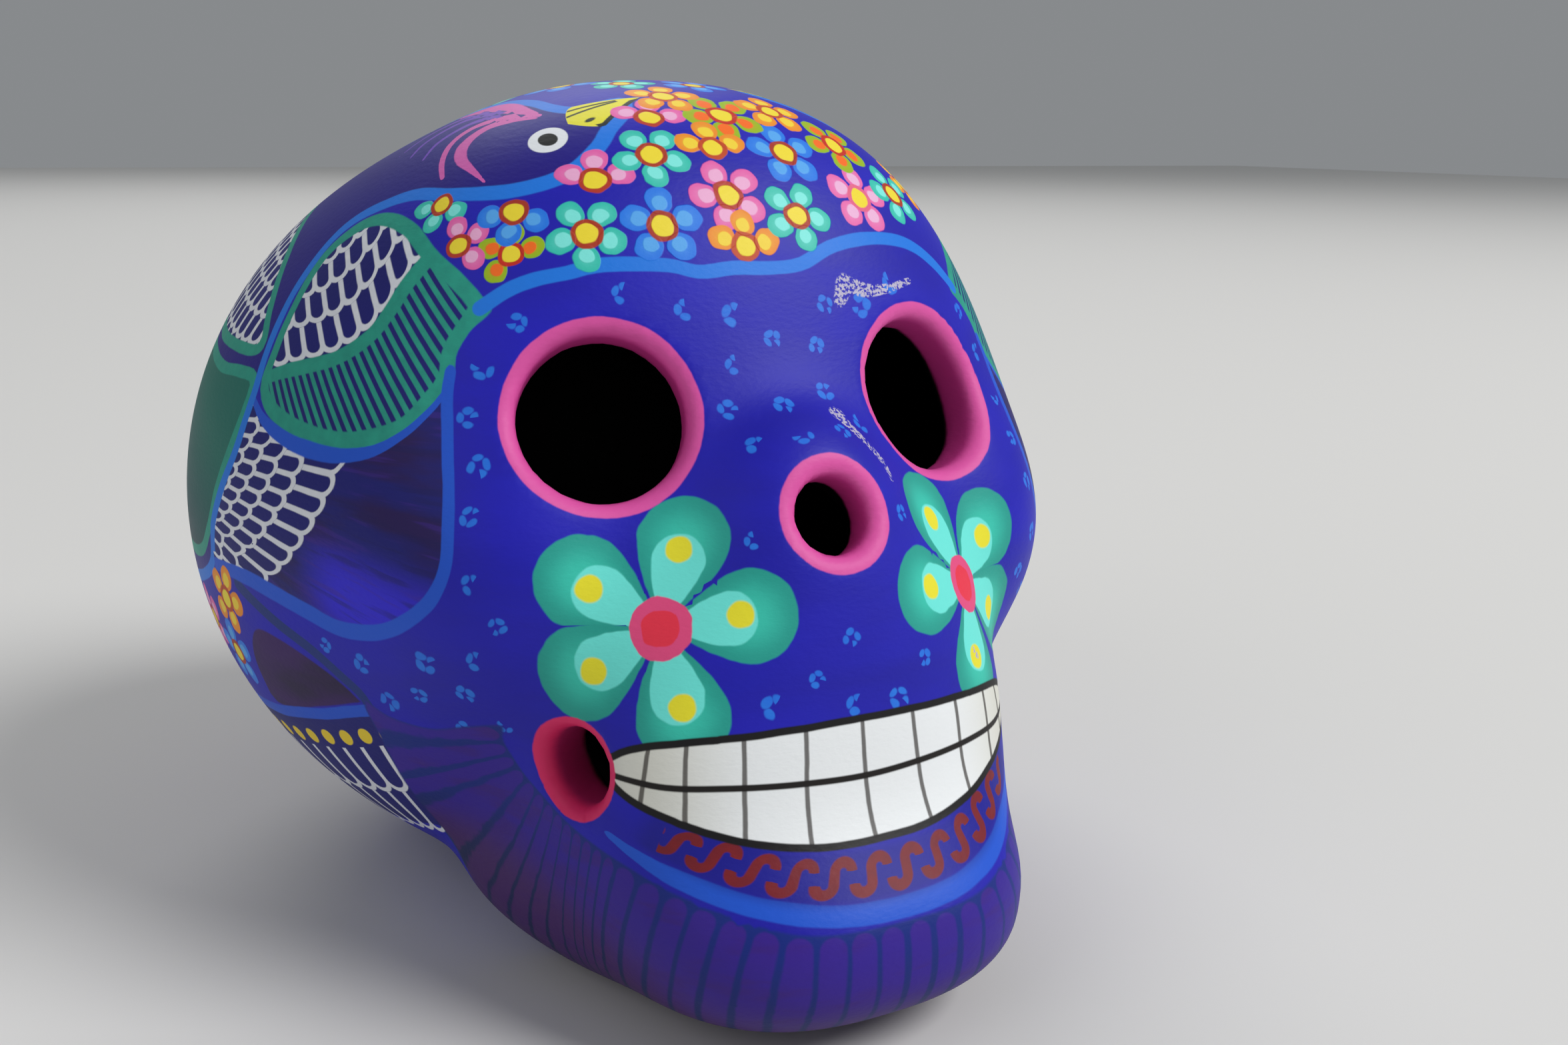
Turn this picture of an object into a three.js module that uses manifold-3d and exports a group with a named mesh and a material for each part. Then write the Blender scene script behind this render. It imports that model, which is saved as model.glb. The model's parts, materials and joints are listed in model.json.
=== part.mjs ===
// Painted skull of fired clay: one hollow shell, about 164 mm long, 134 mm wide and 124 mm high.
// Millimetres, +Z up. The face looks along -Y and the skull's right side is at -X. The origin is on
// the surface that the skull stands on, below the middle of its bounding box.

import * as THREE from 'three';
import { mergeVertices } from 'three/addons/utils/BufferGeometryUtils.js';
import Module from 'manifold-3d';

// Clay walls and the fineness of the two skins
const WALL = 6.5;
const OUTER_DETAIL = 15;
const INNER_DETAIL = 7;
const FOOT_DROP = 20;

// The potter's masses of clay. Each is a rounded lump: its centre, its half sizes, how far its back
// is tipped up in degrees, and how boxy it is (2 is an ellipsoid). "side" lumps come in pairs.
const CRANIUM = { at: [0, 18.5, 57.5], half: [65.5, 65.5, 56.5], tip: 28, boxy: 2 };
const FOREHEAD = { at: [0, -11.5, 72], half: [41.5, 27.5, 46.5], tip: 0, boxy: 2.4 };
const FACE = { at: [0, -24, 46.5], half: [32, 40, 22], tip: 0, boxy: 2.6 };
const NOSE_RIDGE = { at: [0, -53, 60.5], half: [13, 10.5, 18], tip: 0, boxy: 2 };
const CHEEKBONE = { at: [35, -25.5, 59.5], half: [15, 23, 18], tip: 0, boxy: 2, side: true };
const MUZZLE = { at: [0, -49.5, 35.5], half: [29.5, 18, 18.5], tip: 0, boxy: 2.4 };
const CHIN = { at: [0, -55.5, 15], half: [27.5, 26, 12.5], tip: 0, boxy: 2.5 };
const JAW = { at: [0, -28, 14.5], half: [37.5, 24.5, 16], tip: 0, boxy: 2 };

// How softly the masses are smoothed into each other
const CROWN_BLEND = 14;
const FACE_BLEND = 5;
const MOUTH_BLEND = 7;
const CHEEK_CREASE_BLEND = 4;

// A point inside the clay that sees the whole skin
const HEART = new THREE.Vector3(0, -11, 50);
const REACH = 130;

// The five holes: the point of the skin at the middle of each, the direction that it looks in (azimuth
// from the front towards the skull's left, elevation above level), its bore and its rounded lip.
const EYE = { at: [25, -45, 81.3], azimuth: 18, elevation: 21, bore: 11, lip: 2.2, deep: 16 };
const NOSE = { at: [0, -62, 69.6], azimuth: 0, elevation: 24, bore: 5.2, lip: 2.6, deep: 16 };
const CHEEK = { at: [33, -52.7, 37.3], azimuth: 66, elevation: 1, bore: 5.2, lip: 2, deep: 16 };
const LIP_STEPS = 3;
const BORE_SIDES = 24;
const CLEAR = 8;

function massDistance(p, mass) {
  const tip = THREE.MathUtils.degToRad(mass.tip);
  const x = (mass.side ? Math.abs(p.x) : p.x) - mass.at[0];
  const back = p.y - mass.at[1];
  const up = p.z - mass.at[2];
  const y = back * Math.cos(tip) + up * Math.sin(tip);
  const z = up * Math.cos(tip) - back * Math.sin(tip);
  const parts = [x, y, z].map((value, i) => Math.abs(value) / mass.half[i]);
  const length = Math.max(parts.reduce((sum, q) => sum + q ** mass.boxy, 0) ** (1 / mass.boxy), 1e-6);
  const slope = Math.hypot(...parts.map((q, i) => (q / length) ** (mass.boxy - 1) / mass.half[i]));
  return (length - 1) / Math.max(slope, 1e-9);
}

function blend(distances, softness) {
  const nearest = Math.min(...distances);
  const sum = distances.reduce((total, d) => total + Math.exp((nearest - d) / softness), 0);
  return nearest - softness * Math.log(sum);
}

// Distance from the skin, in millimetres: below 0 inside the clay
function skin(p) {
  const crown = blend([CRANIUM, FOREHEAD].map((m) => massDistance(p, m)), CROWN_BLEND);
  const masses = [FACE, NOSE_RIDGE, CHEEKBONE].map((m) => massDistance(p, m));
  const head = blend([crown, ...masses], FACE_BLEND);
  const mouth = blend([MUZZLE, CHIN, JAW].map((m) => massDistance(p, m)), MOUTH_BLEND);
  return blend([head, mouth], CHEEK_CREASE_BLEND);
}

// Where a ray from outside meets the skin, or the surface "inset" millimetres below it
function meet(from, direction, inset) {
  const p = from.clone();
  for (let step = 0; step < 80; step += 1) {
    const gap = skin(p) + inset;
    if (Math.abs(gap) < 1e-4) break;
    p.addScaledVector(direction, THREE.MathUtils.clamp(gap, -6, 10) * 0.7);
  }
  return p;
}

function toSolid(wasm, geometry) {
  const bare = geometry.clone();
  bare.deleteAttribute('normal');
  bare.deleteAttribute('uv');
  const merged = mergeVertices(bare, 1e-4);
  const vertProperties = new Float32Array(merged.attributes.position.array);
  const triVerts = new Uint32Array(merged.index.array);
  return new wasm.Manifold(new wasm.Mesh({ numProp: 3, vertProperties, triVerts }));
}

function toGeometry(solid) {
  const mesh = solid.getMesh();
  const geometry = new THREE.BufferGeometry();
  geometry.setAttribute('position', new THREE.BufferAttribute(new Float32Array(mesh.vertProperties), 3));
  geometry.setIndex(new THREE.BufferAttribute(new Uint32Array(mesh.triVerts), 1));
  geometry.computeVertexNormals();
  return geometry;
}

// A ball whose points are pushed out until they meet the skin
function skinShell(detail, inset) {
  const ball = new THREE.IcosahedronGeometry(1, detail);
  const position = ball.attributes.position;
  const direction = new THREE.Vector3();
  for (let i = 0; i < position.count; i += 1) {
    direction.fromBufferAttribute(position, i).normalize();
    const from = HEART.clone().addScaledVector(direction, REACH);
    const p = meet(from, direction.clone().negate(), inset);
    position.setXYZ(i, p.x, p.y, p.z);
  }
  return ball;
}

// The ground, or the cavity's floor: everything below "height" is cut away
function slabBelow(height) {
  const size = 2 * REACH;
  const slab = new THREE.BoxGeometry(size, size, FOOT_DROP);
  slab.translate(0, 0, height - FOOT_DROP / 2);
  return slab;
}

function lookDirection(hole, side) {
  const azimuth = THREE.MathUtils.degToRad(hole.azimuth) * side;
  const elevation = THREE.MathUtils.degToRad(hole.elevation);
  return new THREE.Vector3(
    Math.sin(azimuth) * Math.cos(elevation),
    -Math.cos(azimuth) * Math.cos(elevation),
    Math.sin(elevation),
  );
}

// A hole's cutter: a straight bore whose mouth flares in a quarter round that follows the skin
function boreCutter(hole, side) {
  const rim = hole.bore + hole.lip;
  const profile = [new THREE.Vector2(0, -hole.deep), new THREE.Vector2(hole.bore, -hole.deep)];
  for (let i = 0; i <= LIP_STEPS; i += 1) {
    const turn = (i / LIP_STEPS) * (Math.PI / 2);
    profile.push(new THREE.Vector2(
      hole.bore + hole.lip * (1 - Math.cos(turn)),
      hole.lip * (Math.sin(turn) - 1),
    ));
  }
  profile.push(new THREE.Vector2(rim, CLEAR), new THREE.Vector2(0, CLEAR));
  const axis = lookDirection(hole, side);
  const cutter = new THREE.LatheGeometry(profile, BORE_SIDES);
  const heights = Array.from(cutter.attributes.position.array).filter((value, i) => i % 3 === 1);
  cutter.applyQuaternion(new THREE.Quaternion().setFromUnitVectors(new THREE.Vector3(0, 1, 0), axis));
  cutter.translate(hole.at[0] * side, hole.at[1], hole.at[2]);
  const position = cutter.attributes.position;
  for (let i = 0; i < position.count; i += 1) {
    if (heights[i] <= -hole.deep) continue;
    const foot = new THREE.Vector3().fromBufferAttribute(position, i).addScaledVector(axis, -heights[i]);
    const p = meet(foot.addScaledVector(axis, hole.deep), axis.clone().negate(), 0);
    p.addScaledVector(axis, heights[i]);
    position.setXYZ(i, p.x, p.y, p.z);
  }
  return cutter;
}

function makeSkull(wasm) {
  const body = toSolid(wasm, skinShell(OUTER_DETAIL, 0)).subtract(toSolid(wasm, slabBelow(0)));
  const cavity = toSolid(wasm, skinShell(INNER_DETAIL, WALL)).subtract(toSolid(wasm, slabBelow(WALL)));
  let shell = body.subtract(cavity);
  for (const side of [-1, 1]) {
    shell = shell.subtract(toSolid(wasm, boreCutter(EYE, side)));
    shell = shell.subtract(toSolid(wasm, boreCutter(CHEEK, side)));
  }
  return shell.subtract(toSolid(wasm, boreCutter(NOSE, 1)));
}

const wasm = await Module();
wasm.setup();

const paintedClay = new THREE.MeshStandardMaterial({ color: 0x2018a0, roughness: 0.5, metalness: 0 });
const claySkull = new THREE.Mesh(toGeometry(makeSkull(wasm)), paintedClay);
claySkull.name = 'clay_skull';

const sculpture = new THREE.Group();
sculpture.add(claySkull);

export default sculpture;
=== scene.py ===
"""A hollow skull of fired clay, painted by hand with flowers, birds and bands.

The clay is one shell. Its CAD solid is remade as a finer mesh, and the paint is worked out on that
mesh as distances from brushed lines and as places on stamped flowers.
"""

import json
import math

import bpy
import numpy as np
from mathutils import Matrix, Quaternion, Vector

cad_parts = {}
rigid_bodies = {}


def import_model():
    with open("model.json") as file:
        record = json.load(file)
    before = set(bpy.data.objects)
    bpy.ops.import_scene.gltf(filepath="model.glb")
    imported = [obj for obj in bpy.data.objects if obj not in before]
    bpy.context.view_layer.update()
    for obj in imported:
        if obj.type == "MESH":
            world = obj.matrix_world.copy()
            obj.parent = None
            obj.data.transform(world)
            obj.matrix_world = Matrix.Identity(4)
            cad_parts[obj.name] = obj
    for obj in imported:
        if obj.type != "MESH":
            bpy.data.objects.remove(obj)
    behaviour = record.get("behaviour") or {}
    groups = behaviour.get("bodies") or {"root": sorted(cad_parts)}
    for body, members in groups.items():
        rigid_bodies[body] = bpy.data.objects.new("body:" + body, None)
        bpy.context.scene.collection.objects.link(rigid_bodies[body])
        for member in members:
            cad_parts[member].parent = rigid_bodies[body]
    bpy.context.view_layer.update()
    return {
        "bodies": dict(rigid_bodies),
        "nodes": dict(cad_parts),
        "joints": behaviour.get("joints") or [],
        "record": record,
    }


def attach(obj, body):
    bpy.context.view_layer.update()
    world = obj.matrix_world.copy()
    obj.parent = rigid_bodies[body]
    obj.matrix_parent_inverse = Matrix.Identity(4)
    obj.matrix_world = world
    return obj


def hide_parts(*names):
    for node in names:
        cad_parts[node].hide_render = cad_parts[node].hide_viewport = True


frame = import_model()

# The clay shell
# A potter's rounded masses of clay, pressed in a mould, smoothed together and fired. Lengths are in
# millimetres, with the face towards -Y and the skull's right side at -X, as in the solid.

MM = 0.001
WALL = 6.5
HEART = np.array([0, -11, 50])
CRANIUM = {"at": (0, 18.5, 57.5), "half": (65.5, 65.5, 56.5), "tip": 28, "boxy": 2}
FOREHEAD = {"at": (0, -11.5, 72), "half": (41.5, 27.5, 46.5), "tip": 0, "boxy": 2.4}
FACE = {"at": (0, -24, 46.5), "half": (32, 40, 22), "tip": 0, "boxy": 2.6}
NOSE_RIDGE = {"at": (0, -53, 60.5), "half": (13, 10.5, 18), "tip": 0, "boxy": 2}
CHEEKBONE = {"at": (35, -25.5, 59.5), "half": (15, 23, 18), "tip": 0, "boxy": 2}
MUZZLE = {"at": (0, -49.5, 35.5), "half": (29.5, 18, 18.5), "tip": 0, "boxy": 2.4}
CHIN = {"at": (0, -55.5, 15), "half": (27.5, 26, 12.5), "tip": 0, "boxy": 2.5}
JAW = {"at": (0, -28, 14.5), "half": (37.5, 24.5, 16), "tip": 0, "boxy": 2}
CROWN_BLEND = 14
FACE_BLEND = 5
MOUTH_BLEND = 7
CHEEK_CREASE_BLEND = 4

EYE = {"at": (25, -45, 81.3), "azimuth": 18, "elevation": 21, "bore": 11, "lip": 2.2}
NOSE = {"at": (0, -62, 69.6), "azimuth": 0, "elevation": 24, "bore": 5.2, "lip": 2.6}
CHEEK = {"at": (33, -52.7, 37.3), "azimuth": 66, "elevation": 1, "bore": 5.2, "lip": 2}
HOLE_DEPTH = 16


def mass_distance(points, mass):
    tip = math.radians(mass["tip"])
    x, back, up = (points - np.array(mass["at"])).T
    y = back * math.cos(tip) + up * math.sin(tip)
    z = up * math.cos(tip) - back * math.sin(tip)
    if mass is CHEEKBONE:
        x = np.abs(points[:, 0]) - mass["at"][0]
    half = np.array(mass["half"])
    parts = np.abs(np.stack([x, y, z], axis=1)) / half
    boxy = mass["boxy"]
    length = np.maximum((parts ** boxy).sum(axis=1) ** (1 / boxy), 1e-6)
    slope = np.linalg.norm((parts / length[:, None]) ** (boxy - 1) / half, axis=1)
    return (length - 1) / np.maximum(slope, 1e-9)


def blend(distances, softness):
    distances = np.stack(distances)
    nearest = distances.min(axis=0)
    return nearest - softness * np.log(np.exp((nearest - distances) / softness).sum(axis=0))


def skin(points):
    """Distance from the outside of the clay, below 0 in it."""
    crown = blend([mass_distance(points, m) for m in (CRANIUM, FOREHEAD)], CROWN_BLEND)
    masses = [mass_distance(points, m) for m in (FACE, NOSE_RIDGE, CHEEKBONE)]
    head = blend([crown, *masses], FACE_BLEND)
    mouth = blend([mass_distance(points, m) for m in (MUZZLE, CHIN, JAW)], MOUTH_BLEND)
    return blend([head, mouth], CHEEK_CREASE_BLEND)


def gradient(field, points, step=0.2):
    columns = []
    for axis in range(3):
        shift = np.zeros(3)
        shift[axis] = step
        columns.append((field(points + shift) - field(points - shift)) / (2 * step))
    return np.stack(columns, axis=1)


def look_direction(hole, side):
    azimuth = math.radians(hole["azimuth"]) * side
    elevation = math.radians(hole["elevation"])
    return np.array([
        math.sin(azimuth) * math.cos(elevation),
        -math.cos(azimuth) * math.cos(elevation),
        math.sin(elevation),
    ])


def hole_radius(points, hole, side):
    """Distance from the hole's axis, and height above its mouth along that axis."""
    arm = points - np.array(hole["at"]) * np.array([side, 1, 1])
    axis = look_direction(hole, side)
    height = arm @ axis
    return np.linalg.norm(arm - height[:, None] * axis, axis=1), height


def round_meet(a, b, radius):
    """What is in both of two forms, with the edge between them rounded."""
    corner = np.hypot(np.maximum(a + radius, 0), np.maximum(b + radius, 0))
    return np.minimum(-radius, np.maximum(a, b)) + corner


HOLES = [(EYE, -1), (EYE, 1), (CHEEK, -1), (CHEEK, 1), (NOSE, 1)]


def clay(points):
    """Distance from the surface of the whole shell, below 0 in the clay."""
    outside = skin(points)
    solid = outside
    for hole, side in HOLES:
        away, height = hole_radius(points, hole, side)
        bore = np.maximum(away - hole["bore"], -(height + HOLE_DEPTH))
        solid = round_meet(solid, -bore, hole["lip"])
    hollow = np.maximum(outside + WALL, WALL - points[:, 2])
    return round_meet(round_meet(solid, -hollow, 1.0), -points[:, 2], 0.8)


VOXEL = 1.3


def settle(points, rounds=6):
    for _ in range(rounds):
        distance = clay(points)
        slope = gradient(clay, points)
        steep = np.maximum((slope ** 2).sum(axis=1), 0.25)
        points = points - (np.clip(distance, -1, 1) / steep)[:, None] * slope
    return points


def remeshed(source, name):
    piece = bpy.data.objects.new(name, source.data.copy())
    bpy.context.collection.objects.link(piece)
    remesh = piece.modifiers.new("remesh", "REMESH")
    remesh.mode = "VOXEL"
    remesh.voxel_size = VOXEL * MM
    graph = bpy.context.evaluated_depsgraph_get()
    mesh = bpy.data.meshes.new_from_object(piece.evaluated_get(graph))
    piece.modifiers.clear()
    piece.data = mesh
    mesh.name = name
    return piece


def vertex_places(mesh):
    places = np.empty(len(mesh.vertices) * 3, np.float32)
    mesh.vertices.foreach_get("co", places)
    return places.reshape(-1, 3).astype(float) / MM


def move_vertices(mesh, places):
    mesh.vertices.foreach_set("co", (places * MM).astype(np.float32).ravel())
    mesh.update()


skull = remeshed(frame["nodes"]["clay_skull"], "painted_skull")
skull.data.materials.clear()
places = settle(vertex_places(skull.data))
move_vertices(skull.data, places)
skull.data.shade_smooth()
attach(skull, "root")
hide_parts("clay_skull")

# The paint on the clay
# Deep ultramarine acrylic is brushed over the whole fired shell and left satin. The brush leaves
# darker and more violet passes, and the hollow inside is painted nearly black as painted shade.


def srgb(red, green, blue):
    """A paint colour from its 0 to 255 levels, in the linear values that a shader takes."""
    levels = np.array([red, green, blue]) / 255
    linear = np.where(levels <= 0.04045, levels / 12.92, ((levels + 0.055) / 1.055) ** 2.4)
    return (*[float(level) for level in linear], 1.0)


class Shade:
    """A socket of the paint's node tree. Arithmetic on it adds Math nodes."""

    tree = None

    def __init__(self, socket):
        self.socket = socket

    @classmethod
    def node(cls, kind, settings=None, sockets=None, output=0):
        made = cls.tree.nodes.new(kind)
        for name, value in (settings or {}).items():
            if name == "stops":
                cls.set_stops(made.color_ramp, value)
            else:
                setattr(made, name, value)
        for key, value in (sockets or {}).items():
            if isinstance(value, Shade):
                cls.tree.links.new(value.socket, made.inputs[key])
            else:
                made.inputs[key].default_value = value
        return cls(made.outputs[output])

    @staticmethod
    def set_stops(ramp, stops):
        ramp.interpolation = "CONSTANT"
        while len(ramp.elements) < len(stops):
            ramp.elements.new(1.0)
        for element, (position, colour) in zip(ramp.elements, stops):
            element.position = position
            element.color = colour

    def math(self, operation, *others):
        sockets = dict(enumerate([self, *others]))
        return Shade.node("ShaderNodeMath", {"operation": operation}, sockets)

    def __add__(self, other):
        return self.math("ADD", other)

    def __radd__(self, other):
        return self.math("ADD", other)

    def __sub__(self, other):
        return self.math("SUBTRACT", other)

    def __rsub__(self, other):
        return Shade.node("ShaderNodeMath", {"operation": "SUBTRACT"}, {0: other, 1: self})

    def __mul__(self, other):
        return self.math("MULTIPLY", other)

    def __rmul__(self, other):
        return self.math("MULTIPLY", other)

    def __truediv__(self, other):
        return self.math("DIVIDE", other)

    def __neg__(self):
        return self.math("MULTIPLY", -1)

    def __abs__(self):
        return self.math("ABSOLUTE")

    def least(self, other):
        return self.math("MINIMUM", other)

    def most(self, other):
        return self.math("MAXIMUM", other)

    def fraction(self):
        return self.math("FRACT")

    def whole(self):
        return self.math("FLOOR")


def length(across, along):
    """How long a flat arm is: the square root of the sum of its two squares."""
    return (across * across + along * along).math("SQRT")


def inside(distance, limit, soft=0.12):
    """1 where a distance is under the limit and 0 over it, with a soft brushed edge between."""
    settings = {"interpolation_type": "SMOOTHSTEP"}
    ends = {"From Min": -soft, "From Max": soft, "To Min": 1, "To Max": 0}
    return Shade.node("ShaderNodeMapRange", settings, {"Value": distance - limit, **ends})


def over(under, mask, colour):
    """Paint laid on what is under it where the mask is 1."""
    settings = {"data_type": "RGBA"}
    return Shade.node("ShaderNodeMix", settings, {0: mask, 6: under, 7: colour}, output=2)


def stored(name):
    """The three numbers that the mesh keeps under this name, as three sockets."""
    vector = Shade.node("ShaderNodeAttribute", {"attribute_name": name}, output=1)
    return [Shade.node("ShaderNodeSeparateXYZ", None, {0: vector}, output=i) for i in range(3)]


def clouds(scale, detail=2.0, stretch=(1, 1, 1)):
    """Noise of the given number of clouds per millimetre, from 0 to 1."""
    place = Shade.node("ShaderNodeTexCoord", output=3)
    place = Shade.node("ShaderNodeVectorMath", {"operation": "MULTIPLY"}, {0: place, 1: stretch})
    sockets = {"Vector": place, "Scale": scale / MM, "Detail": detail}
    return Shade.node("ShaderNodeTexNoise", None, sockets)


paint = bpy.data.materials.new("painted_clay")
paint.use_nodes = True
Shade.tree = paint.node_tree
shader = paint.node_tree.nodes["Principled BSDF"]
skull.data.materials.append(paint)

wobble = (clouds(0.16, 3) - 0.5) * 0.8
passes = clouds(0.035, 4, (1, 1, 3))
streaks = clouds(0.25, 3, (0.35, 0.35, 1.6))
shimmer = clouds(0.5, 2)
colour = over(srgb(24, 18, 132), passes, srgb(34, 28, 204))
colour = over(colour, streaks * 0.5, srgb(24, 28, 184))

# Long brushed lines
# The painter lays out the head with long lines of light blue and teal. Each line is a short list of
# directions from the heart of the head, on the skull's right side: degrees round from the face and
# degrees up. The left side has the same lines, with its bird's head set further back.

on_right = places[:, 0] <= 0
folded = places * np.where(on_right, 1, -1)[:, None] ** np.array([1, 0, 0])


def outward_at(points):
    slope = gradient(skin, points)
    return slope / np.linalg.norm(slope, axis=1)[:, None]


outward = outward_at(places)
folded_outward = outward_at(folded)


def directions_of(points):
    """Degrees round from the face and degrees up, seen from the heart."""
    arm = points - HEART
    turn = np.degrees(np.arctan2(arm[:, 0], -arm[:, 1]))
    rise = np.degrees(np.arcsin(arm[:, 2] / np.linalg.norm(arm, axis=1)))
    return np.stack([turn, rise], axis=1)


def on_skin(pairs):
    """The points of the skin that are seen from the heart in these directions."""
    turn, rise = np.radians(np.array(pairs, float)).T
    ways = [np.sin(turn) * np.cos(rise), -np.cos(turn) * np.cos(rise), np.sin(rise)]
    ways = np.stack(ways, axis=1)
    points = HEART + ways * 130
    for _ in range(60):
        points = points - ways * (np.clip(skin(points), -6, 10) * 0.7)[:, None]
    return points


def smooth_line(pairs, closed=False, steps=10):
    """A smooth line of points on the skin, through the points seen in these directions."""
    knots = on_skin(pairs)
    if closed:
        knots = np.concatenate([knots[-1:], knots, knots[:2]])
    else:
        first = 2 * knots[0] - knots[1]
        last = 2 * knots[-1] - knots[-2]
        knots = np.concatenate([[first], knots, [last]])
    line = []
    for before, start, end, after in zip(knots, knots[1:], knots[2:], knots[3:]):
        leave = (end - before) / 2
        arrive = (after - start) / 2
        for part in np.arange(steps) / steps:
            bend = 2 * (start - end) + leave + arrive
            pull = 3 * (end - start) - 2 * leave - arrive
            line.append(start + part * leave + part ** 2 * pull + part ** 3 * bend)
    return np.array(line + [knots[-2]])


def drawn_out(line, reach=8):
    """The line with both its ends drawn out straight."""
    first = line[0] + reach * (line[0] - line[1]) / np.linalg.norm(line[0] - line[1])
    last = line[-1] + reach * (line[-1] - line[-2]) / np.linalg.norm(line[-1] - line[-2])
    return np.concatenate([[first], line, [last]])


def line_places(points, normals, line):
    """Each point's distance from a line, above 0 on its left, and how far along it that is."""
    runs = np.concatenate([[0], np.cumsum(np.linalg.norm(np.diff(line, axis=0), axis=1))])
    offset = np.empty(len(points))
    along = np.empty(len(points))
    for start in range(0, len(points), 5000):
        rows = slice(start, start + 5000)
        part = points[rows]
        gaps = (part ** 2).sum(axis=1)[:, None] - 2 * part @ line.T + (line ** 2).sum(axis=1)
        near = np.clip(gaps.argmin(axis=1), 1, len(line) - 2)
        best = np.full(len(part), np.inf)
        for first in (near - 1, near):
            step = line[first + 1] - line[first]
            reach = np.linalg.norm(step, axis=1)
            arm = part - line[first]
            share = np.clip((arm * step).sum(axis=1) / reach ** 2, 0, 1)
            away = arm - share[:, None] * step
            gap = np.linalg.norm(away, axis=1)
            left = (np.cross(normals[rows], step) * away).sum(axis=1)
            closer = gap < best
            best = np.where(closer, gap, best)
            offset[rows] = np.where(closer, np.where(left < 0, -gap, gap), offset[rows])
            along[rows] = np.where(closer, runs[first] + share * reach, along[rows])
    return offset, along


def within(line, points):
    """Whether each point is inside a closed line, both seen from the heart."""
    turn, rise = directions_of(points).T
    inner = np.zeros(len(points), bool)
    corners = directions_of(line)
    for (turn_a, rise_a), (turn_b, rise_b) in zip(corners, np.roll(corners, -1, axis=0)):
        if rise_a == rise_b:
            continue
        crosses = (rise_a > rise) != (rise_b > rise)
        meeting = turn_a + (rise - rise_a) / (rise_b - rise_a) * (turn_b - turn_a)
        inner ^= crosses & (turn < meeting)
    return inner


def patch(pairs, points=folded):
    """Distance from the edge of a closed patch of paint, below 0 inside it."""
    line = smooth_line(pairs, closed=True)
    gap = np.abs(line_places(points, folded_outward, line)[0])
    return np.where(within(line, points), -gap, gap)


def right_or_left(pairs, left_pairs):
    return np.where(on_right, patch(pairs), patch(left_pairs))


mesh = skull.data
face_count = len(mesh.polygons)
corner_vertex = np.empty(len(mesh.loops), np.int32)
mesh.loops.foreach_get("vertex_index", corner_vertex)
corner_total = np.empty(face_count, np.int32)
mesh.polygons.foreach_get("loop_total", corner_total)
corner_face = np.repeat(np.arange(face_count), corner_total)
face_start = np.concatenate([[0], np.cumsum(corner_total)[:-1]])


def on_faces(values):
    """The mean of a value over each face's corners."""
    return np.add.reduceat(values[corner_vertex], face_start) / corner_total


def keep(name, columns):
    """Stores up to three numbers for each vertex, or for each corner of each face."""
    domain = "POINT" if len(columns[0]) == len(places) else "CORNER"
    columns = [*columns, *[np.zeros(len(columns[0]))] * (3 - len(columns))]
    layer = mesh.attributes.new(name, "FLOAT_VECTOR", domain)
    layer.data.foreach_set("vector", np.stack(columns, axis=1).astype(np.float32).ravel())


def brushed(name, lines):
    """Stores, for each face, where it is on the nearest of some lines, in the line's half widths."""
    offsets, beyonds, tones = [], [], []
    for pairs, halves, tone, closed, mirror in lines:
        line = smooth_line(pairs, closed)
        points, normals = (folded, folded_outward) if mirror else (places, outward)
        if closed:
            offset, along = line_places(points, normals, line)
            beyond = np.zeros(len(points))
            share = along / along.max()
        else:
            run = np.linalg.norm(np.diff(line, axis=0), axis=1).sum()
            offset, along = line_places(points, normals, drawn_out(line))
            beyond = np.maximum(np.maximum(8 - along, along - 8 - run), 0)
            share = np.clip((along - 8) / run, 0, 1)
        half = np.interp(share, np.linspace(0, 1, len(halves)), halves)
        hidden = (mirror == "right") & ~on_right | (mirror == "left") & on_right
        offsets.append(np.where(hidden, 90, offset) / half)
        beyonds.append(beyond / half)
        tones.append(tone)
    gaps = [on_faces(np.hypot(offset, beyond)) for offset, beyond in zip(offsets, beyonds)]
    chosen = np.argmin(gaps, axis=0)[corner_face]
    offset = np.stack(offsets)[chosen, corner_vertex]
    beyond = np.stack(beyonds)[chosen, corner_vertex]
    nearest = np.minimum.reduceat(np.abs(offset), face_start)[corner_face]
    offset = np.where(nearest > 2, np.abs(offset), offset)
    keep(name, [offset, beyond, np.array(tones, float)[chosen]])


def line_mask(name):
    """1 on the painted lines stored under this name, and each line's tone."""
    offset, beyond, tone = stored(name)
    return inside(length(offset, beyond), 1 + wobble * 0.35, 0.14), tone


BAND = [(-59, 46), (-55, 49), (-51, 51), (-45, 53), (-39, 55), (-25, 57), (-17, 57), (-8, 58),
        (1, 58), (11, 58), (22, 59), (35, 58), (47, 55), (54, 51), (59, 46)]
FACE_SIDE = [(-61, 38), (-60.5, 35), (-59, 31), (-57.5, 27), (-56, 23), (-55, 19), (-54.5, 14),
             (-56, 10), (-59, 7), (-64, 4), (-69, 2.5), (-75, 2), (-81, 3), (-88, 4), (-95, 4.5),
             (-103, 4)]
FACE_TOP = [(-59, 46), (-61, 43), (-62, 40), (-61.5, 37), (-60.5, 35)]
WING = [(-59.5, 46), (-64, 48), (-72, 50), (-80, 52), (-89, 52), (-95, 50), (-99, 46), (-99.5, 42),
        (-98.5, 37), (-97.5, 32), (-96.5, 28), (-92, 26), (-84, 25.5), (-77, 26), (-71, 27.5),
        (-66, 30), (-63, 34), (-61.5, 37), (-62, 40), (-61, 43)]
WING_DIVIDER = [(-97, 29), (-93, 31), (-88, 33), (-83, 35), (-79, 37.5), (-76.5, 40), (-75, 43),
                (-74, 46), (-72, 49.5)]
UNDER_WING = [(-98, 26), (-94, 24.5), (-88, 23.7), (-82, 23.7), (-76, 24.3), (-70, 26),
              (-65.5, 29), (-62.5, 32.5), (-61, 35)]
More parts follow.
